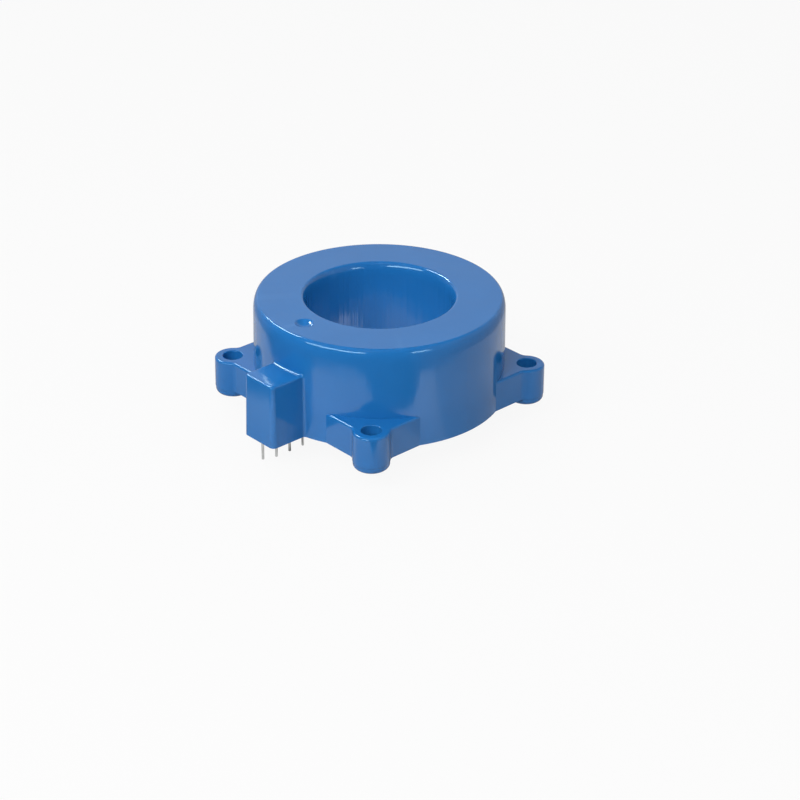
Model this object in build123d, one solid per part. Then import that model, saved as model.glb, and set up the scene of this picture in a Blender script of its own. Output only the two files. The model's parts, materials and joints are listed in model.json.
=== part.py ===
from build123d import *
import math
import os

# Ring-shaped current sensor that stands on a circuit board by four feet.
# The axis of the primary aperture is Z and the board it stands on is the plane z = 0.
# The pin block looks towards -Y, and the four ears lie on the diagonals.
# All sizes are in millimetres.

# Aperture, core and the ring that holds them
APERTURE_DIAMETER = 22.0
BORE_WALL = 1.1
CORE_BUILD = 4.8
CORE_HEIGHT = 10.0
CORE_CLEARANCE = 0.4
OUTER_WALL = 1.3
RING_DRAFT_DEGREES = 0.75
CEILING = 1.4
TOP_EDGE_WIDTH = 0.75
TOP_EDGE_DEPTH = 2.05
APERTURE_EDGE_WIDTH = 0.7
APERTURE_EDGE_DEPTH = 1.9

# Resin at the bottom and adhesive at the top, which hold the core between them
RESIN_RECESS = 0.5
RESIN_DEPTH = 3.26
ADHESIVE_THICKNESS = 0.5
ADHESIVE_MARGIN = 0.7

# Ears and feet
EAR_HEIGHT = 4.8
EAR_STAND_OUT = 3.22
EAR_DRAFT_DEGREES = 0.55
EAR_PLATE_LAP = 1.64
EAR_BLEND_RADIUS = 1.2
EAR_EDGE_RADIUS = 0.35
BOSS_DIAMETER = 5.52
EAR_HOLE_DIAMETER = 3.0
EAR_HOLE_EDGE_RADIUS = 0.15
FOOT_DIAMETER = 5.4
FOOT_HEIGHT = 1.17
FOOT_SHOULDER = 0.2
FOOT_EDGE_RADIUS = 0.75

# Pin block on the side of the ring
BLOCK_DRAFT_DEGREES = 1.3
BLOCK_SIDE_WALL = 1.2
BLOCK_END_WALL = 0.7
BLOCK_CEILING = 1.2
BLOCK_CORNER_RADIUS = 0.8
BLOCK_EDGE_RADIUS = 0.35
BLOCK_ROOT_RADIUS = 0.45

# Moulded dimple over the core's gap
DIMPLE_SETBACK = 4.3
DIMPLE_DIAMETER = 2.8
DIMPLE_DEPTH = 0.6

# Pins, in a row along Y, soldered to one side of the circuit board
PIN_NAMES = ("supply_pin", "ground_pin", "output_pin", "reference_pin")
PIN_DIAMETER = 0.4
PIN_PITCH = 2.54
PIN_SETBACK = 3.675
PIN_REACH = 3.25
PIN_LAP = 3.0
PIN_TIP_CHAMFER = 0.08
OUTER_PIN_SHORTER = 0.5
PIN_SIDE_ROOM = 0.78
GAP_SIDE_ROOM = 0.25

# Circuit board
BOARD_THICKNESS = 0.8
BOARD_EDGE_MARGIN = 0.3
BOARD_END_CLEARANCE = 0.3
BOARD_TOP_CLEARANCE = 0.3
BOARD_RESIN_COVER = 0.8

# Sensor chip in the core's gap
CHIP_LENGTH = 3.0
CHIP_WIDTH = 4.4
CHIP_THICKNESS = 1.0
CHIP_STAND_OFF = 0.1
CHIP_CLEARANCE = 0.2
CHIP_EDGE_CHAMFER = 0.12
LEADS_PER_SIDE = 4
LEAD_PITCH = 0.65
LEAD_WIDTH = 0.25
LEAD_THICKNESS = 0.15
LEAD_SHOULDER = 0.35
LEAD_FOOT = 0.65
BOARD_TOP_MARGIN = 0.5

# Small parts on the circuit board
SUPPLY_CAPACITOR_LENGTH = 3.2
SUPPLY_CAPACITOR_WIDTH = 1.6
SUPPLY_CAPACITOR_HEIGHT = 1.5
CAPACITOR_LENGTH = 1.6
CAPACITOR_WIDTH = 0.8
CAPACITOR_HEIGHT = 0.8
RESISTOR_LENGTH = 1.6
RESISTOR_WIDTH = 0.8
RESISTOR_HEIGHT = 0.45
END_CAP = 0.3
COMPONENT_SPACING = 0.4
COMPONENT_CLEARANCE = 0.27
COMPONENT_RESIN_ROOM = 1.42

# Solder
SOLDER_FILM = 0.05
SOLDER_BEAD = 0.18
SOLDER_BEAD_LENGTH = 2.2
SOLDER_TOE = 0.2
LEAD_TOE = 0.12

# Radii of the ring, worked out from the aperture outwards
aperture_radius = APERTURE_DIAMETER / 2
bore_tube_radius = aperture_radius + BORE_WALL
core_inner_radius = bore_tube_radius + CORE_CLEARANCE
core_outer_radius = core_inner_radius + CORE_BUILD
core_middle_radius = (core_inner_radius + core_outer_radius) / 2
cavity_radius = core_outer_radius + CORE_CLEARANCE
ring_radius = cavity_radius + OUTER_WALL

# Heights, worked out from the feet upwards
ring_bottom = FOOT_HEIGHT
resin_bottom = ring_bottom + RESIN_RECESS
core_bottom = resin_bottom + RESIN_DEPTH
core_top = core_bottom + CORE_HEIGHT
ceiling_level = core_top + ADHESIVE_THICKNESS
ring_top = ceiling_level + CEILING
ear_top = ring_bottom + EAR_HEIGHT
board_bottom = resin_bottom + BOARD_RESIN_COVER
second_row_bottom = core_bottom + COMPONENT_RESIN_ROOM
first_row_bottom = second_row_bottom + CAPACITOR_WIDTH + COMPONENT_SPACING
board_step = first_row_bottom + SUPPLY_CAPACITOR_WIDTH + COMPONENT_SPACING
block_ceiling_level = board_step + BOARD_TOP_CLEARANCE
block_top = block_ceiling_level + BLOCK_CEILING
chip_level = (core_bottom + core_top) / 2
lead_reach = CHIP_WIDTH / 2 + LEAD_SHOULDER + LEAD_FOOT
board_top = chip_level + lead_reach + BOARD_TOP_MARGIN

# Places across the pin row, along X
pin_radius = PIN_DIAMETER / 2
board_back = pin_radius + SOLDER_FILM
board_face = board_back + BOARD_THICKNESS
chip_face = board_face + CHIP_STAND_OFF + CHIP_THICKNESS
gap_low_x = -pin_radius - SOLDER_BEAD - GAP_SIDE_ROOM
gap_high_x = chip_face + CHIP_CLEARANCE
block_low_x = -pin_radius - PIN_SIDE_ROOM - BLOCK_SIDE_WALL
block_high_x = board_face + SUPPLY_CAPACITOR_HEIGHT + COMPONENT_CLEARANCE + BLOCK_SIDE_WALL

# Places along the pin row, along Y
inner_pin_y = -(ring_radius - PIN_SETBACK)
outer_pin_y = inner_pin_y - PIN_PITCH * (len(PIN_NAMES) - 1)
board_outer_y = outer_pin_y - BOARD_EDGE_MARGIN
board_step_y = -core_outer_radius
board_inner_y = -core_inner_radius
block_end_y = board_outer_y - BOARD_END_CLEARANCE - BLOCK_END_WALL
block_draft = (block_top - ring_bottom) * math.tan(math.radians(BLOCK_DRAFT_DEGREES))
ring_slope = math.tan(math.radians(RING_DRAFT_DEGREES))

# Ears, on the diagonals of the ring
ear_place = (ring_radius + EAR_STAND_OUT) / math.sqrt(2)
ear_centres = [(x, y) for x in (-ear_place, ear_place) for y in (-ear_place, ear_place)]
plate_half = ear_place + EAR_PLATE_LAP
boss_radius = BOSS_DIAMETER / 2


def slab(x_low, x_high, y_low, y_high, z_low, z_high):
    """A box between two corners."""
    centre = Pos((x_low + x_high) / 2, (y_low + y_high) / 2, (z_low + z_high) / 2)
    return centre * Box(x_high - x_low, y_high - y_low, z_high - z_low)


def rod(radius, z_low, z_high, x=0, y=0):
    """A cylinder that stands along Z."""
    standing = (Align.CENTER, Align.CENTER, Align.MIN)
    return Pos(x, y, z_low) * Cylinder(radius, z_high - z_low, align=standing)


def ring_blank():
    """The ring before it is hollowed: both its walls curve in steeply to the flat top."""
    round_start = ring_top - TOP_EDGE_DEPTH
    wall_radius = ring_radius - (round_start - ring_bottom) * ring_slope
    flat_outer_radius = wall_radius - TOP_EDGE_WIDTH
    flat_inner_radius = aperture_radius + APERTURE_EDGE_WIDTH
    bore_round_start = ring_top - APERTURE_EDGE_DEPTH
    outer_edge = EllipticalCenterArc(
        (flat_outer_radius, round_start), TOP_EDGE_WIDTH, TOP_EDGE_DEPTH, start_angle=0, arc_size=90)
    flat_top = Line((flat_outer_radius, ring_top), (flat_inner_radius, ring_top))
    inner_edge = EllipticalCenterArc(
        (flat_inner_radius, bore_round_start), APERTURE_EDGE_WIDTH, APERTURE_EDGE_DEPTH,
        start_angle=90, arc_size=90)
    straight_sides = Polyline(
        (aperture_radius, bore_round_start),
        (aperture_radius, ring_bottom),
        (ring_radius, ring_bottom),
        (wall_radius, round_start),
    )
    outline = make_face([outer_edge, flat_top, inner_edge, straight_sides])
    return revolve(Plane.XZ * outline, Axis.Z)


def ear_plate():
    """The square plate with a round boss at each corner, as one thick drafted slab."""
    outline = Rectangle(2 * plate_half, 2 * plate_half)
    for x, y in ear_centres:
        outline += Pos(x, y) * Circle(boss_radius)
    hollow_corners = [
        corner for corner in outline.vertices()
        if math.isclose(max(abs(corner.X), abs(corner.Y)), plate_half, abs_tol=0.001)
    ]
    outline = fillet(hollow_corners, EAR_BLEND_RADIUS)
    plate = extrude(Pos(0, 0, ring_bottom) * outline, amount=EAR_HEIGHT, taper=EAR_DRAFT_DEGREES)
    return fillet(plate.edges().group_by(Axis.Z)[-1], EAR_EDGE_RADIUS)


def foot():
    """One foot: it narrows from the boss by a shoulder and has a rounded rim."""
    foot_radius = FOOT_DIAMETER / 2
    half_section = make_face(Polyline(
        (0, 0, 0),
        (foot_radius, 0, 0),
        (foot_radius, 0, FOOT_HEIGHT - FOOT_SHOULDER),
        (boss_radius, 0, FOOT_HEIGHT),
        (0, 0, FOOT_HEIGHT),
        close=True,
    ))
    rim = half_section.vertices().group_by(Axis.Z)[0].sort_by(Axis.X)[-1]
    return revolve(fillet([rim], FOOT_EDGE_RADIUS), Axis.Z)


def block_solid(x_low, x_high, y_end, z_high, corner_radius):
    """A block with drafted sides, sized at its top, from the ring out to y_end."""
    y_root = -bore_tube_radius
    spread = (z_high - ring_bottom) * math.tan(math.radians(BLOCK_DRAFT_DEGREES))
    centre = Pos((x_low + x_high) / 2, (y_end + y_root) / 2, ring_bottom)
    base = Rectangle(x_high - x_low + 2 * spread, y_root - y_end + 2 * spread)
    if corner_radius:
        base = fillet(base.vertices().group_by(Axis.Y)[0], corner_radius)
    return extrude(centre * base, amount=z_high - ring_bottom, taper=BLOCK_DRAFT_DEGREES)


def housing():
    """The moulded case: ring, ears, feet and pin block in one piece, open below."""
    body = round_block_root(ring_blank() + pin_block())
    body += ear_plate()
    for x, y in ear_centres:
        body += Pos(x, y, 0) * foot()

    body -= rod(aperture_radius, ring_bottom, ear_top)
    body -= rod(cavity_radius, ring_bottom, ceiling_level) - rod(
        bore_tube_radius, ring_bottom, ceiling_level)
    body -= block_hollow()
    for x, y in ear_centres:
        body -= rod(EAR_HOLE_DIAMETER / 2, 0, ear_top, x, y)
    body = round_ear_holes(body)
    return body - dimple()


def pin_block():
    """The pin block before it is hollowed, with its top rim rounded."""
    block = block_solid(block_low_x, block_high_x, block_end_y, block_top, BLOCK_CORNER_RADIUS)
    rim = block.edges().group_by(Axis.Z)[-1].sort_by(Axis.Y)[:-1]
    return fillet(rim, BLOCK_EDGE_RADIUS)


def round_block_root(body):
    """Round the corner where the pin block meets the ring wall."""
    def on_the_ring_wall(point):
        wall_radius = ring_radius - (point.Z - ring_bottom) * ring_slope
        beside = block_low_x - block_draft <= point.X <= block_high_x + block_draft
        return beside and abs(math.hypot(point.X, point.Y) - wall_radius) < block_draft

    root = [
        edge for edge in body.edges()
        if edge.center().Y < 0
        and ring_bottom < edge.center().Z < block_top + block_draft
        and on_the_ring_wall(edge @ 0) and on_the_ring_wall(edge @ 1)
    ]
    return fillet(root, BLOCK_ROOT_RADIUS)


def round_ear_holes(body):
    """Round the upper rim of each ear hole."""
    rims = [
        edge for edge in body.edges().filter_by(GeomType.CIRCLE)
        if math.isclose(edge.radius, EAR_HOLE_DIAMETER / 2, abs_tol=0.001)
        and math.isclose(edge.center().Z, ear_top, abs_tol=0.001)
    ]
    return fillet(rims, EAR_HOLE_EDGE_RADIUS)


def block_hollow():
    """The space in the pin block, open to the ring's hollow and below."""
    hollow = block_solid(
        block_low_x + BLOCK_SIDE_WALL,
        block_high_x - BLOCK_SIDE_WALL,
        block_end_y + BLOCK_END_WALL,
        block_ceiling_level,
        0,
    )
    return hollow - rod(bore_tube_radius, ring_bottom, block_ceiling_level)


def dimple():
    """The ball that presses the shallow dimple into the top face."""
    ball_radius = ((DIMPLE_DIAMETER / 2) ** 2 + DIMPLE_DEPTH ** 2) / (2 * DIMPLE_DEPTH)
    ball_level = ring_top - DIMPLE_DEPTH + ball_radius
    return Pos(0, -(ring_radius - DIMPLE_SETBACK), ball_level) * Sphere(ball_radius)


def gapped_ring(inner_radius, outer_radius, z_low, z_high):
    """A ring with one parallel-sided gap over the circuit board."""
    ring = rod(outer_radius, z_low, z_high) - rod(inner_radius, z_low, z_high)
    return ring - slab(gap_low_x, gap_high_x, -outer_radius, 0, z_low, z_high)


def magnetic_core():
    return gapped_ring(core_inner_radius, core_outer_radius, core_bottom, core_top)


def core_adhesive():
    return gapped_ring(
        core_inner_radius + ADHESIVE_MARGIN,
        core_outer_radius - ADHESIVE_MARGIN,
        core_top,
        ceiling_level,
    )


def circuit_board():
    """The upright board: low in the pin block, tall in the core's gap."""
    low = slab(board_back, board_face, board_outer_y, board_step_y, board_bottom, board_step)
    tall = slab(board_back, board_face, board_step_y, board_inner_y, board_bottom, board_top)
    return low + tall


def sensor_chip():
    """The chip's moulded body, its face across the core's gap."""
    y_low = -core_middle_radius - CHIP_LENGTH / 2
    z_low = chip_level - CHIP_WIDTH / 2
    body = slab(
        board_face + CHIP_STAND_OFF, chip_face,
        y_low, y_low + CHIP_LENGTH,
        z_low, z_low + CHIP_WIDTH,
    )
    return chamfer(body.edges().group_by(Axis.X)[-1], CHIP_EDGE_CHAMFER)


def lead_places():
    """The middle of each lead along Y."""
    middle = (LEADS_PER_SIDE - 1) / 2
    return [-core_middle_radius + LEAD_PITCH * (turn - middle) for turn in range(LEADS_PER_SIDE)]


def chip_leads():
    """Gull-wing leads, from the middle of the chip's body down to the board."""
    waist = board_face + CHIP_STAND_OFF + CHIP_THICKNESS / 2
    shoulder_top = waist + LEAD_THICKNESS / 2
    shoulder_low = waist - LEAD_THICKNESS / 2
    foot_top = board_face + LEAD_THICKNESS
    leads = []
    for side in (-1, 1):
        body_z = chip_level + side * CHIP_WIDTH / 2
        bend_z = body_z + side * LEAD_SHOULDER
        toe_z = bend_z + side * LEAD_FOOT
        for y in lead_places():
            profile = make_face(Polyline(
                (shoulder_top, y, body_z),
                (shoulder_top, y, bend_z + side * LEAD_THICKNESS),
                (foot_top, y, bend_z + side * LEAD_THICKNESS),
                (foot_top, y, toe_z),
                (board_face, y, toe_z),
                (board_face, y, bend_z),
                (shoulder_low, y, bend_z),
                (shoulder_low, y, body_z),
                close=True,
            ))
            leads.append(extrude(profile, amount=LEAD_WIDTH / 2, dir=(0, 1, 0), both=True))
    return leads


def component_layout():
    """Each small part's name, its corner on the board and its size along Y, Z and X."""
    first_y = board_outer_y + COMPONENT_SPACING
    first_top = first_row_bottom + SUPPLY_CAPACITOR_WIDTH
    second_top = second_row_bottom + CAPACITOR_WIDTH
    second_y = first_y + CAPACITOR_LENGTH + COMPONENT_SPACING
    resistor_y = first_y + SUPPLY_CAPACITOR_LENGTH + COMPONENT_SPACING
    next_resistor_y = resistor_y + RESISTOR_WIDTH + COMPONENT_SPACING
    supply = (SUPPLY_CAPACITOR_LENGTH, SUPPLY_CAPACITOR_WIDTH, SUPPLY_CAPACITOR_HEIGHT)
    capacitor = (CAPACITOR_LENGTH, CAPACITOR_WIDTH, CAPACITOR_HEIGHT)
    resistor = (RESISTOR_WIDTH, RESISTOR_LENGTH, RESISTOR_HEIGHT)
    return [
        ("supply_capacitor", first_y, first_top, supply),
        ("output_capacitor", first_y, second_top, capacitor),
        ("reference_capacitor", second_y, second_top, capacitor),
        ("output_resistor", resistor_y, first_top, resistor),
        ("reference_resistor", next_resistor_y, first_top, resistor),
    ]


def small_component(y_low, z_high, size):
    """A chip capacitor or resistor: its body, its two end caps and their solder."""
    along_y, along_z, height = size
    y_high = y_low + along_y
    z_low = z_high - along_z
    top = board_face + height
    if along_y > along_z:
        body = slab(board_face, top, y_low + END_CAP, y_high - END_CAP, z_low, z_high)
        ends = [
            slab(board_face, top, y_low, y_low + END_CAP, z_low, z_high),
            slab(board_face, top, y_high - END_CAP, y_high, z_low, z_high),
        ]
        toes = [
            solder_toe(side, z_low, z_high, SOLDER_TOE, height / 2, along_y=True)
            for side in ((y_low, -1), (y_high, 1))
        ]
    else:
        body = slab(board_face, top, y_low, y_high, z_low + END_CAP, z_high - END_CAP)
        ends = [
            slab(board_face, top, y_low, y_high, z_low, z_low + END_CAP),
            slab(board_face, top, y_low, y_high, z_high - END_CAP, z_high),
        ]
        toes = [
            solder_toe(side, y_low, y_high, SOLDER_TOE, height / 2, along_y=False)
            for side in ((z_low, -1), (z_high, 1))
        ]
    return body, ends, toes


def solder_toe(side, low, high, reach, rise, along_y):
    """A wedge of solder against one end, running out over the board."""
    start, sense = side
    tip = start + sense * reach
    corners = [(board_face, start), (board_face + rise, start), (board_face, tip)]
    if along_y:
        points = [(x, across, low) for x, across in corners]
        direction = (0, 0, 1)
    else:
        points = [(x, low, across) for x, across in corners]
        direction = (0, 1, 0)
    return extrude(make_face(Polyline(*points, close=True)), amount=high - low, dir=direction)


def lead_toes():
    """The solder at the toe of each chip lead."""
    toes = []
    for side in (-1, 1):
        toe_z = chip_level + side * lead_reach
        for y in lead_places():
            toes.append(solder_toe(
                (toe_z, side), y - LEAD_WIDTH / 2, y + LEAD_WIDTH / 2,
                LEAD_TOE, LEAD_THICKNESS, along_y=False))
    return toes


def pin_places():
    """Each pin's name, its place along Y and the level of its tip."""
    places = []
    for turn, name in enumerate(PIN_NAMES):
        tip = -PIN_REACH
        if turn == 0:
            tip += OUTER_PIN_SHORTER
        places.append((name, outer_pin_y + PIN_PITCH * turn, tip))
    return places


def pin(y, tip):
    """One round pin, on a film of solder at the board's back, with a chamfered tip."""
    wire = rod(pin_radius, tip, board_bottom + PIN_LAP, 0, y)
    return chamfer(wire.edges().filter_by(GeomType.CIRCLE).group_by(Axis.Z)[0], PIN_TIP_CHAMFER)


def pin_solder(y):
    """The bead that joins one pin to the board's back."""
    z_low = board_bottom + (PIN_LAP - SOLDER_BEAD_LENGTH) / 2
    z_high = z_low + SOLDER_BEAD_LENGTH
    bead_radius = pin_radius + SOLDER_BEAD
    bead = rod(bead_radius, z_low, z_high, 0, y)
    bead -= slab(board_back, board_face, y - bead_radius, y + bead_radius, z_low, z_high)
    return bead - rod(pin_radius, z_low, z_high, 0, y)


def potting_resin(buried):
    """The resin that closes the case from below, round all that passes through it."""
    fill = rod(cavity_radius, resin_bottom, core_bottom)
    fill -= rod(bore_tube_radius, resin_bottom, core_bottom)
    fill += block_hollow() & slab(
        block_low_x, block_high_x, block_end_y, -bore_tube_radius, resin_bottom, core_bottom)
    for piece in buried:
        fill -= piece
    return fill


def write_part(name, shape):
    export_step(shape, f"parts/{name}.step")


os.makedirs("parts", exist_ok=True)

board = circuit_board()
pins = {name: pin(y, tip) for name, y, tip in pin_places()}
beads = [pin_solder(y) for _, y, _ in pin_places()]
solder_toes = lead_toes()

write_part("housing", housing())
write_part("magnetic_core", magnetic_core())
write_part("core_adhesive", core_adhesive())
write_part("circuit_board", board)
write_part("sensor_chip", sensor_chip())
write_part("chip_leads", Compound(chip_leads()))
for part_name, low_y, high_z, part_size in component_layout():
    component_body, component_ends, component_toes = small_component(low_y, high_z, part_size)
    write_part(part_name, component_body)
    write_part(f"{part_name}_ends", Compound(component_ends))
    solder_toes += component_toes
write_part("component_solder", Compound(solder_toes))
for pin_name, pin_shape in pins.items():
    write_part(pin_name, pin_shape)
write_part("pin_solder", Compound(beads))
write_part("potting_resin", potting_resin([board, *pins.values(), *beads]))
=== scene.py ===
import json
import math

import bpy
from mathutils import Euler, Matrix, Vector


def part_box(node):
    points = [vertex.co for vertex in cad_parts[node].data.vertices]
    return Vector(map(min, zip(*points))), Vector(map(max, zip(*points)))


# Looks, light and camera for a ring-shaped current sensor.
# Lengths are in metres, in the part's own frame: +Z up along the aperture's axis, and the feet
# at z = 0. Azimuths run in degrees from +X towards +Y, and elevations in degrees above the floor.
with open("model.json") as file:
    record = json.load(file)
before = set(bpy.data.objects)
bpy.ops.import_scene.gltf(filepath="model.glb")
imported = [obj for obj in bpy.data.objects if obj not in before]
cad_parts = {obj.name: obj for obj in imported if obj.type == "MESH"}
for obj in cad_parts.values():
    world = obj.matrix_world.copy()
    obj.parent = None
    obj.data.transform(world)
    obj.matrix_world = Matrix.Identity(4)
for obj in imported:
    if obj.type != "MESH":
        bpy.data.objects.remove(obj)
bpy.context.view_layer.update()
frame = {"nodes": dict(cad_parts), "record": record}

MM = 0.001
PIN_TIP_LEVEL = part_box("ground_pin")[0].z
RING_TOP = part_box("housing")[1].z

# Camera, as solved from the photograph's outlines. Its azimuth turns its view from +Y towards -X.
CAMERA_PLACE = Vector((217.59, -197.40, 156.34)) * MM
CAMERA_AZIMUTH = 47.165
CAMERA_ELEVATION = 28.179
CAMERA_ROLL = 0.515
CAMERA_LENS = 98.25
CAMERA_SENSOR = 36.0
CAMERA_CLIP = (0.01, 20.0)

# Lamps, all at one distance from the middle of the ring
LAMP_DISTANCE = 0.40

# Soft lamps, which only light the surfaces: azimuth, elevation, side, radiance
SOFT_LAMPS = {
    "key": (-87.0, 37.0, 0.26, 5.5),
    "front": (-46.0, 44.0, 0.20, 4.2),
    "fill": (18.0, 41.0, 0.20, 1.45),
    "back": (178.0, 55.0, 0.26, 1.65),
}

# Narrow lamps, which only show as highlights:
# azimuth, elevation, width, height, roll, radiance, colour
GLINTS = {
    "glint_left": (-164.5, 43.4, 0.225, 0.052, 36.0, 46.0, (0.66, 0.92, 1.00)),
    "glint_front": (-81.5, 20.0, 0.38, 0.050, 0.0, 13.0, (0.58, 0.92, 1.00)),
    "glint_right": (-7.0, 12.0, 0.105, 0.045, 0.0, 8.5, (0.58, 0.92, 1.00)),
}

FLOOR_SIZE = 4.0
FLOOR_TONES = (0.51, 0.53)
FLOOR_WHITE_SHARE = 0.92  # how much of what the camera sees is plain white
# Painted light: the floor glows under the aperture, to diffuse rays only, as light coming up
# through it
APERTURE_FLOOR_GLOW = 0.65  # light that comes up through the aperture
UNDER_APERTURE = (0.0150, 0.0170)  # the distance from the axis over which that light ends

# Painted reflection: what the gloss mirrors of the floor, in bright and dark sectors that stand in
# for the light and shade on a table round the sensor, as (azimuth, grey level): near the sensor,
# further off, and below the aperture. The near levels reach as far as GLOW_REACH, as (azimuth,
# distance).
GLOW_NEAR = [
    (-180, 0.55), (-165, 0.66), (-150, 0.74), (-140, 0.78), (-101, 0.77), (-94, 1.22),
    (-60, 1.15), (-48, 1.05), (-33, 1.05), (-20, 1.52), (-3, 1.42), (2, 0.88), (65, 0.82),
    (95, 0.58), (180, 0.55),
]
GLOW_BEYOND = [
    (-180, 0.45), (-150, 0.30), (-140, 0.08), (-20, 0.05), (-5, 0.35), (30, 0.52),
    (120, 0.50), (180, 0.45),
]
GLOW_IN_APERTURE = [
    (-180, 0.30), (-138, 0.30), (-130, 0.85), (-55, 0.85), (-50, 0.38), (15, 0.45),
    (20, 1.80), (42, 1.80), (50, 0.80), (180, 0.30),
]
GLOW_REACH = [
    (-180, 0.0600), (-160, 0.0560), (-145, 0.0460), (-135, 0.0420), (-100, 0.0415),
    (-90, 0.0495), (-75, 0.0505), (-60, 0.0505), (-52, 0.0485), (-48, 0.0440), (-44, 0.0365),
    (-40, 0.0355), (-33, 0.0365), (-20, 0.0385), (-16, 0.0410), (-13, 0.0490), (180, 0.0600),
]
GLOW_FADE = 0.004

# Painted shadow of the sensor on the mirrored floor round the ring, as (distance from the axis,
# share of its light)
SHADE = [
    (0.0, 1.0), (0.0150, 1.0), (0.0170, 0.10), (0.0180, 0.10), (0.0200, 0.62),
    (0.0280, 0.66), (0.0330, 0.80), (0.0390, 1.0),
]
SHADE_SPAN = 0.05

# The room above the floor: levels near the horizon as (azimuth, grey level), the heights between
# which they turn into the ceiling, and the ceiling as surfaces are lit by it and as they mirror it
ROOM_LOW = [
    (-180, 0.60), (-150, 0.20), (-130, 0.05), (-20, 0.05), (10, 0.45), (40, 0.60),
    (100, 0.70), (134, 0.71), (142, 0.79), (150, 0.82), (180, 0.72),
]
ROOM_TURN = (0.52, 0.72)
CEILING_LIGHT = 0.98
CEILING_MIRRORED = 0.13
ROOM_LIGHT = 0.40

# The span that a noise's values mostly fill
NOISE_SPAN = (0.3, 0.7)

# Blue plastic: its two flow tones, its speckle, the painted highlight on its sharp edges, its
# roughness, and the distances from the axis between which the streaks of the aperture's wall end
BLUE_DEEP = (0.0118, 0.136, 0.400)
BLUE_PALE = (0.0130, 0.146, 0.425)
BLUE_SPECKLE = (0.020, 0.165, 0.445)
# Lighter blue painted on sharp convex edges, as a highlight
BLUE_EDGE_HIGHLIGHT = (0.045, 0.210, 0.520)
BLUE_ROUGHNESS = (0.08, 0.14)
BORE_EDGE = (11.05 * MM, 11.20 * MM)

# Tinned metals: tone, stained tone, roughness from bright to dull
TINNED_METALS = {
    "pin_metal": ((0.66, 0.66, 0.65), (0.52, 0.52, 0.51), (0.28, 0.42)),
    "tinned_metal": ((0.62, 0.62, 0.63), (0.50, 0.50, 0.50), (0.30, 0.45)),
    "solder": ((0.66, 0.66, 0.67), (0.55, 0.55, 0.56), (0.18, 0.32)),
}

# Dull materials inside the case: two tones, patches per metre, roughness, depth of the grain
DULL_MATERIALS = {
    "adhesive": (
        (0.72, 0.72, 0.69), (0.78, 0.78, 0.75), 400.0, (0.45, 0.60), 0.020 * MM),
    "board_green": (
        (0.018, 0.150, 0.055), (0.024, 0.175, 0.065), 500.0, (0.28, 0.40), 0.006 * MM),
    "chip_black": (
        (0.014, 0.014, 0.016), (0.022, 0.022, 0.024), 900.0, (0.50, 0.65), 0.006 * MM),
    "capacitor_ceramic": (
        (0.34, 0.21, 0.11), (0.40, 0.25, 0.14), 900.0, (0.35, 0.50), 0.004 * MM),
    "resistor_black": (
        (0.018, 0.018, 0.020), (0.028, 0.028, 0.030), 900.0, (0.30, 0.45), 0.004 * MM),
}
GRAINS_PER_PATCH = 8.0


class Nodes:
    """A node tree with short ways to add and join its nodes."""

    def __init__(self, tree):
        self.tree = tree
        tree.nodes.clear()

    def add(self, kind, inputs=None, **settings):
        """Add a node, set it up, and give its inputs a value or another node's output."""
        node = self.tree.nodes.new(kind)
        for name, value in settings.items():
            setattr(node, name, value)
        for name, value in (inputs or {}).items():
            if isinstance(value, bpy.types.NodeSocket):
                self.tree.links.new(value, node.inputs[name])
            else:
                node.inputs[name].default_value = value
        return node

    def math(self, operation, first, second):
        """Work out one value from two."""
        node = self.add("ShaderNodeMath", {0: first, 1: second}, operation=operation)
        return node.outputs[0]

    def length(self, vector):
        """How long a vector is."""
        node = self.add("ShaderNodeVectorMath", {0: vector}, operation="LENGTH")
        return node.outputs["Value"]

    def ramp(self, factor, stops):
        """A colour ramp over (place, grey level) stops."""
        node = self.add("ShaderNodeValToRGB", {"Fac": factor})
        elements = node.color_ramp.elements
        while len(elements) < len(stops):
            elements.new(0.5)
        for element, (place, level) in zip(elements, stops):
            element.position = place
            element.color = grey(level)
        return node.outputs["Color"]

    def around(self, vector, stops):
        """A grey level that follows the azimuth of a vector, over (azimuth, level) stops."""
        turn = self.add("ShaderNodeTexGradient", {"Vector": vector}, gradient_type="RADIAL")
        shares = [(turn_share(azimuth), level) for azimuth, level in stops]
        return self.ramp(turn.outputs["Fac"], shares)

    def spread(self, factor, onto, span=(0.0, 1.0), smooth=False):
        """Map a factor from a span onto another, and stay inside it."""
        node = self.add(
            "ShaderNodeMapRange",
            {
                "Value": factor, "From Min": span[0], "From Max": span[1],
                "To Min": onto[0], "To Max": onto[1],
            },
            interpolation_type="SMOOTHSTEP" if smooth else "LINEAR",
        )
        return node.outputs["Result"]

    def noise(self, coordinates, scale, detail=2.0, roughness=0.5):
        """Soft random patches, as many per metre as the scale says."""
        node = self.add(
            "ShaderNodeTexNoise",
            {"Vector": coordinates, "Scale": scale, "Detail": detail, "Roughness": roughness},
        )
        return node.outputs["Fac"]

    def scaled(self, coordinates, x, y, z):
        """Coordinates times one factor for each axis."""
        node = self.add("ShaderNodeMapping", {"Vector": coordinates, "Scale": (x, y, z)})
        return node.outputs["Vector"]

    def lines_along_z(self, coordinates, across, along):
        """Noise drawn out along Z: lines per metre across it, and breaks per metre along it."""
        return self.noise(self.scaled(coordinates, across, across, along), scale=1.0)

    def bump(self, height, depth, below=None, strength=1.0):
        """A normal that follows a height, on top of the one below."""
        inputs = {"Height": height, "Distance": depth, "Strength": strength}
        if below is not None:
            inputs["Normal"] = below
        return self.add("ShaderNodeBump", inputs).outputs["Normal"]

    def blend(self, factor, first, second):
        """Mix two colours."""
        node = self.add("ShaderNodeMix", {0: factor, 6: first, 7: second}, data_type="RGBA")
        return node.outputs[2]

    def shader_blend(self, factor, first, second):
        """Mix two shaders."""
        return self.add("ShaderNodeMixShader", {0: factor, 1: first, 2: second}).outputs[0]


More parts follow.
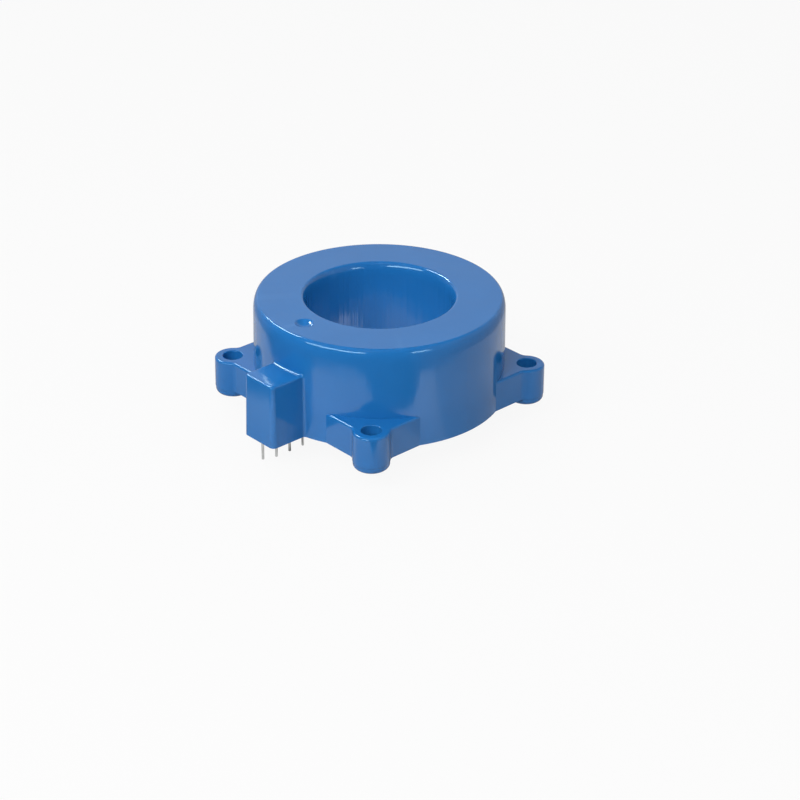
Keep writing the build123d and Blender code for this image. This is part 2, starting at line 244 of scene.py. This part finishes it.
def colour(red, green, blue):
    """An opaque colour, as a socket takes it."""
    return (red, green, blue, 1.0)


def grey(level):
    """An opaque grey."""
    return colour(level, level, level)


def turn_share(azimuth):
    """Where an azimuth lies on a radial gradient, which starts and ends at 180 degrees."""
    return azimuth / 360.0 + 0.5


def new_material(name):
    """A material with one Principled shader, its nodes, and the place on the object."""
    material = bpy.data.materials.new(name)
    material.use_nodes = True
    nodes = Nodes(material.node_tree)
    shader = nodes.add("ShaderNodeBsdfPrincipled")
    nodes.add("ShaderNodeOutputMaterial", {"Surface": shader.outputs["BSDF"]})
    place = nodes.add("ShaderNodeTexCoord").outputs["Object"]
    return material, nodes, shader, place


def connect(nodes, shader, body, roughness, normal):
    """Join the three outputs that vary over a surface to its shader."""
    for name, output in (("Base Color", body), ("Roughness", roughness), ("Normal", normal)):
        nodes.tree.links.new(output, shader.inputs[name])


def blue_moulding():
    """Glossy blue plastic: flow tones, mould texture, handled gloss, painted edge highlight,
    streaked bore.
    """
    material, nodes, shader, place = new_material("blue_moulding")
    flow = nodes.noise(place, scale=110.0, detail=3.0)
    speckle = nodes.noise(place, scale=5200.0, roughness=0.6)
    # Painted edge highlight: where the pointiness is high, the blue turns lighter
    edge_sharpness = nodes.add("ShaderNodeNewGeometry").outputs["Pointiness"]
    body = nodes.blend(
        nodes.spread(flow, (0.0, 1.0), NOISE_SPAN), colour(*BLUE_DEEP), colour(*BLUE_PALE))
    for share, tone in (
        (nodes.spread(speckle, (0.0, 0.35), (0.55, 0.80)), BLUE_SPECKLE),
        (nodes.spread(edge_sharpness, (0.0, 0.22), (0.52, 0.60)), BLUE_EDGE_HIGHLIGHT),
    ):
        body = nodes.blend(share, body, colour(*tone))

    handled = nodes.noise(place, scale=260.0, detail=4.0, roughness=0.6)
    gloss = nodes.spread(handled, BLUE_ROUGHNESS, NOISE_SPAN)

    waves = nodes.noise(place, scale=160.0)
    drawn = nodes.lines_along_z(place, across=1500.0, along=30.0)
    streaks = nodes.lines_along_z(place, across=1300.0, along=10.0)
    peel = nodes.noise(place, scale=1500.0)
    from_axis = nodes.length(nodes.scaled(place, 1.0, 1.0, 0.0))
    in_bore = nodes.spread(from_axis, (1.0, 0.0), BORE_EDGE)
    normal = nodes.bump(waves, depth=0.06 * MM)
    normal = nodes.bump(drawn, depth=0.012 * MM, below=normal)
    normal = nodes.bump(streaks, depth=0.10 * MM, below=normal, strength=in_bore)
    normal = nodes.bump(peel, depth=0.004 * MM, below=normal)
    connect(nodes, shader, body, gloss, normal)
    shader.inputs["IOR"].default_value = 1.5
    return material


def tinned_metal(name, tone, stained, roughness):
    """Tinned metal: drawn along Z, a little stained."""
    material, nodes, shader, place = new_material(name)
    stain = nodes.noise(place, scale=900.0, detail=4.0, roughness=0.6)
    body = nodes.blend(
        nodes.spread(stain, (0.0, 1.0), (0.4, 0.75)), colour(*tone), colour(*stained))
    drawn = nodes.lines_along_z(place, across=9000.0, along=400.0)
    gloss = nodes.spread(drawn, roughness, NOISE_SPAN)
    connect(nodes, shader, body, gloss, nodes.bump(drawn, depth=0.006 * MM))
    shader.inputs["Metallic"].default_value = 1.0
    return material


def resin():
    """Dark poured resin: uneven, with small bubbles at its face."""
    material, nodes, shader, place = new_material("resin")
    cloud = nodes.noise(place, scale=240.0, detail=3.0)
    body = nodes.blend(cloud, colour(0.016, 0.018, 0.021), colour(0.030, 0.032, 0.036))
    gloss = nodes.spread(cloud, (0.22, 0.38), NOISE_SPAN)
    cells = nodes.add("ShaderNodeTexVoronoi", {"Vector": place, "Scale": 1300.0})
    bubbles = nodes.spread(cells.outputs["Distance"], (0.0, 1.0), (0.06, 0.16), smooth=True)
    normal = nodes.bump(nodes.noise(place, scale=320.0), depth=0.12 * MM)
    normal = nodes.bump(bubbles, depth=0.03 * MM, below=normal)
    connect(nodes, shader, body, gloss, normal)
    return material


def core_steel():
    """Wound steel strip: fine rings about the aperture's axis, with stains."""
    material, nodes, shader, place = new_material("core_steel")
    rings = nodes.add(
        "ShaderNodeTexWave",
        {"Vector": place, "Scale": 520.0, "Distortion": 0.3},
        wave_type="RINGS",
        rings_direction="Z",
    ).outputs["Fac"]
    stain = nodes.noise(place, scale=300.0, detail=4.0)
    body = nodes.blend(stain, colour(0.17, 0.17, 0.18), colour(0.28, 0.28, 0.29))
    body = nodes.blend(nodes.spread(rings, (0.0, 0.5)), body, colour(0.09, 0.09, 0.10))
    gloss = nodes.spread(stain, (0.35, 0.55))
    connect(nodes, shader, body, gloss, nodes.bump(rings, depth=0.02 * MM))
    shader.inputs["Metallic"].default_value = 1.0
    return material


def dull_material(name, tone, other_tone, patches_per_metre, roughness, grain_depth):
    """A dull material inside the case: two tones, uneven gloss and a fine grain."""
    material, nodes, shader, place = new_material(name)
    patches = nodes.noise(place, patches_per_metre, detail=4.0, roughness=0.6)
    body = nodes.blend(
        nodes.spread(patches, (0.0, 1.0), NOISE_SPAN), colour(*tone), colour(*other_tone))
    gloss = nodes.spread(patches, roughness, NOISE_SPAN)
    grain = nodes.noise(place, patches_per_metre * GRAINS_PER_PATCH)
    normal = nodes.bump(grain, grain_depth)
    connect(nodes, shader, body, gloss, normal)
    return material


def make_materials():
    """One material for each of the record's slots."""
    materials = {
        "blue_moulding": blue_moulding(),
        "core_steel": core_steel(),
        "resin": resin(),
    }
    for name, looks in TINNED_METALS.items():
        materials[name] = tinned_metal(name, *looks)
    for name, looks in DULL_MATERIALS.items():
        materials[name] = dull_material(name, *looks)
    return materials


def dress(materials):
    """Give each carried-over node the material of its slot."""
    slot_of = {part["node"]: part["material_slot"] for part in frame["record"]["subparts"]}
    for name, piece in frame["nodes"].items():
        for slot in piece.material_slots:
            slot.material = materials[slot_of[name]]


def floor_material():
    """Pale floor: almost white to the camera, painted sectors of light and shade to the gloss."""
    material = bpy.data.materials.new("pale_floor")
    material.use_nodes = True
    nodes = Nodes(material.node_tree)
    path = nodes.add("ShaderNodeLightPath").outputs
    place = nodes.add("ShaderNodeTexCoord").outputs["Object"]
    from_axis = nodes.length(place)
    through = nodes.spread(from_axis, (1.0, 0.0), UNDER_APERTURE, smooth=True)

    # Painted reflection: what the gloss mirrors, in sectors of light and shade
    past = nodes.math("SUBTRACT", from_axis, nodes.around(place, GLOW_REACH))
    near = nodes.spread(past, (1.0, 0.0), (0.0, GLOW_FADE), smooth=True)
    glow = nodes.blend(near, nodes.around(place, GLOW_BEYOND), nodes.around(place, GLOW_NEAR))
    glow = nodes.blend(through, glow, nodes.around(place, GLOW_IN_APERTURE))
    # Painted shadow: the mirrored floor is darkened under and round the ring
    shaded = nodes.ramp(
        nodes.math("DIVIDE", from_axis, SHADE_SPAN),
        [(distance / SHADE_SPAN, level) for distance, level in SHADE],
    )
    mirror = nodes.add("ShaderNodeEmission", {"Color": glow, "Strength": shaded}).outputs[0]

    # What lights the sensor from below: the diffuse floor, and a painted glow on it under the
    # aperture
    tone = nodes.spread(nodes.noise(place, scale=900.0, detail=3.0), FLOOR_TONES)
    diffuse = nodes.add("ShaderNodeBsdfDiffuse", {"Color": tone}).outputs[0]
    glow_strength = nodes.math(
        "MULTIPLY", path["Is Diffuse Ray"], nodes.math("MULTIPLY", through, APERTURE_FLOOR_GLOW))
    floor_glow = nodes.add("ShaderNodeEmission", {"Strength": glow_strength}).outputs[0]
    lit = nodes.add("ShaderNodeAddShader", {0: diffuse, 1: floor_glow}).outputs[0]

    # What the camera sees
    white = nodes.add("ShaderNodeEmission", {"Strength": 1.0}).outputs[0]
    seen = nodes.math("MULTIPLY", path["Is Camera Ray"], FLOOR_WHITE_SHARE)
    plain = nodes.shader_blend(seen, lit, white)
    mixed = nodes.shader_blend(path["Is Glossy Ray"], plain, mirror)
    nodes.add("ShaderNodeOutputMaterial", {"Surface": mixed})
    return material


def make_floor():
    """The pale floor, level with the tips of the pins."""
    half = FLOOR_SIZE / 2
    mesh = bpy.data.meshes.new("floor")
    corners = [(-half, -half, 0), (half, -half, 0), (half, half, 0), (-half, half, 0)]
    mesh.from_pydata(corners, [], [(0, 1, 2, 3)])
    mesh.materials.append(floor_material())
    floor = bpy.data.objects.new("floor", mesh)
    floor.location.z = PIN_TIP_LEVEL
    bpy.context.scene.collection.objects.link(floor)


def make_world():
    """White behind the sensor, a soft grey room round it."""
    world = bpy.data.worlds.new("studio")
    world.use_nodes = True
    nodes = Nodes(world.node_tree)
    path = nodes.add("ShaderNodeLightPath").outputs
    towards = nodes.add("ShaderNodeTexCoord").outputs["Generated"]
    height = nodes.add("ShaderNodeSeparateXYZ", {0: towards}).outputs["Z"]
    ceiling = nodes.blend(path["Is Glossy Ray"], grey(CEILING_LIGHT), grey(CEILING_MIRRORED))
    room = nodes.blend(
        nodes.spread(height, (0.0, 1.0), ROOM_TURN, smooth=True),
        nodes.around(towards, ROOM_LOW), ceiling)
    strength = nodes.spread(path["Is Glossy Ray"], (ROOM_LIGHT, 1.0))
    lit = nodes.add("ShaderNodeBackground", {"Color": room, "Strength": strength}).outputs[0]
    white = nodes.add("ShaderNodeBackground", {"Color": grey(1.0), "Strength": 1.0})
    mixed = nodes.shader_blend(path["Is Camera Ray"], lit, white.outputs[0])
    nodes.add("ShaderNodeOutputWorld", {"Surface": mixed})
    bpy.context.scene.world = world


def direction(azimuth, elevation):
    """The unit vector of an azimuth and an elevation."""
    turn, rise = math.radians(azimuth), math.radians(elevation)
    level = math.cos(rise)
    return Vector((math.cos(turn) * level, math.sin(turn) * level, math.sin(rise)))


def softbox(name, azimuth, elevation, width, height, radiance, roll=0.0):
    """A rectangular lamp that faces the middle of the ring."""
    lamp = bpy.data.lights.new(name, "AREA")
    lamp.shape = "RECTANGLE"
    lamp.size, lamp.size_y = width, height
    lamp.energy = radiance * math.pi * width * height
    piece = bpy.data.objects.new(name, lamp)
    towards = direction(azimuth, elevation)
    piece.location = Vector((0, 0, RING_TOP / 2)) + towards * LAMP_DISTANCE
    facing = towards.to_track_quat("Z", "Y").to_matrix()
    rolled = Euler((0, 0, math.radians(roll))).to_matrix()
    piece.rotation_euler = (facing @ rolled).to_euler()
    bpy.context.scene.collection.objects.link(piece)
    return piece


def make_lamps():
    """Soft light with no mirror image, and narrow lamps that only the gloss shows."""
    for name, (azimuth, elevation, side, radiance) in SOFT_LAMPS.items():
        softbox(name, azimuth, elevation, side, side, radiance).visible_glossy = False
    for name, (azimuth, elevation, width, height, roll, radiance, tint) in GLINTS.items():
        piece = softbox(name, azimuth, elevation, width, height, radiance, roll)
        piece.data.color = tint
        piece.visible_diffuse = False


def make_camera():
    """The photograph's camera."""
    camera = bpy.data.cameras.new("camera")
    camera.lens = CAMERA_LENS
    camera.sensor_width = CAMERA_SENSOR
    camera.clip_start, camera.clip_end = CAMERA_CLIP
    piece = bpy.data.objects.new("camera", camera)
    piece.location = CAMERA_PLACE
    tilt, turn = math.radians(90.0 - CAMERA_ELEVATION), math.radians(CAMERA_AZIMUTH)
    aimed = Euler((tilt, 0, turn)).to_matrix()
    rolled = Euler((0, 0, math.radians(CAMERA_ROLL))).to_matrix()
    piece.rotation_euler = (aimed @ rolled).to_euler()
    bpy.context.scene.collection.objects.link(piece)
    bpy.context.scene.camera = piece


dress(make_materials())
make_floor()
make_world()
make_lamps()
make_camera()
bpy.context.scene.view_settings.view_transform = "Standard"
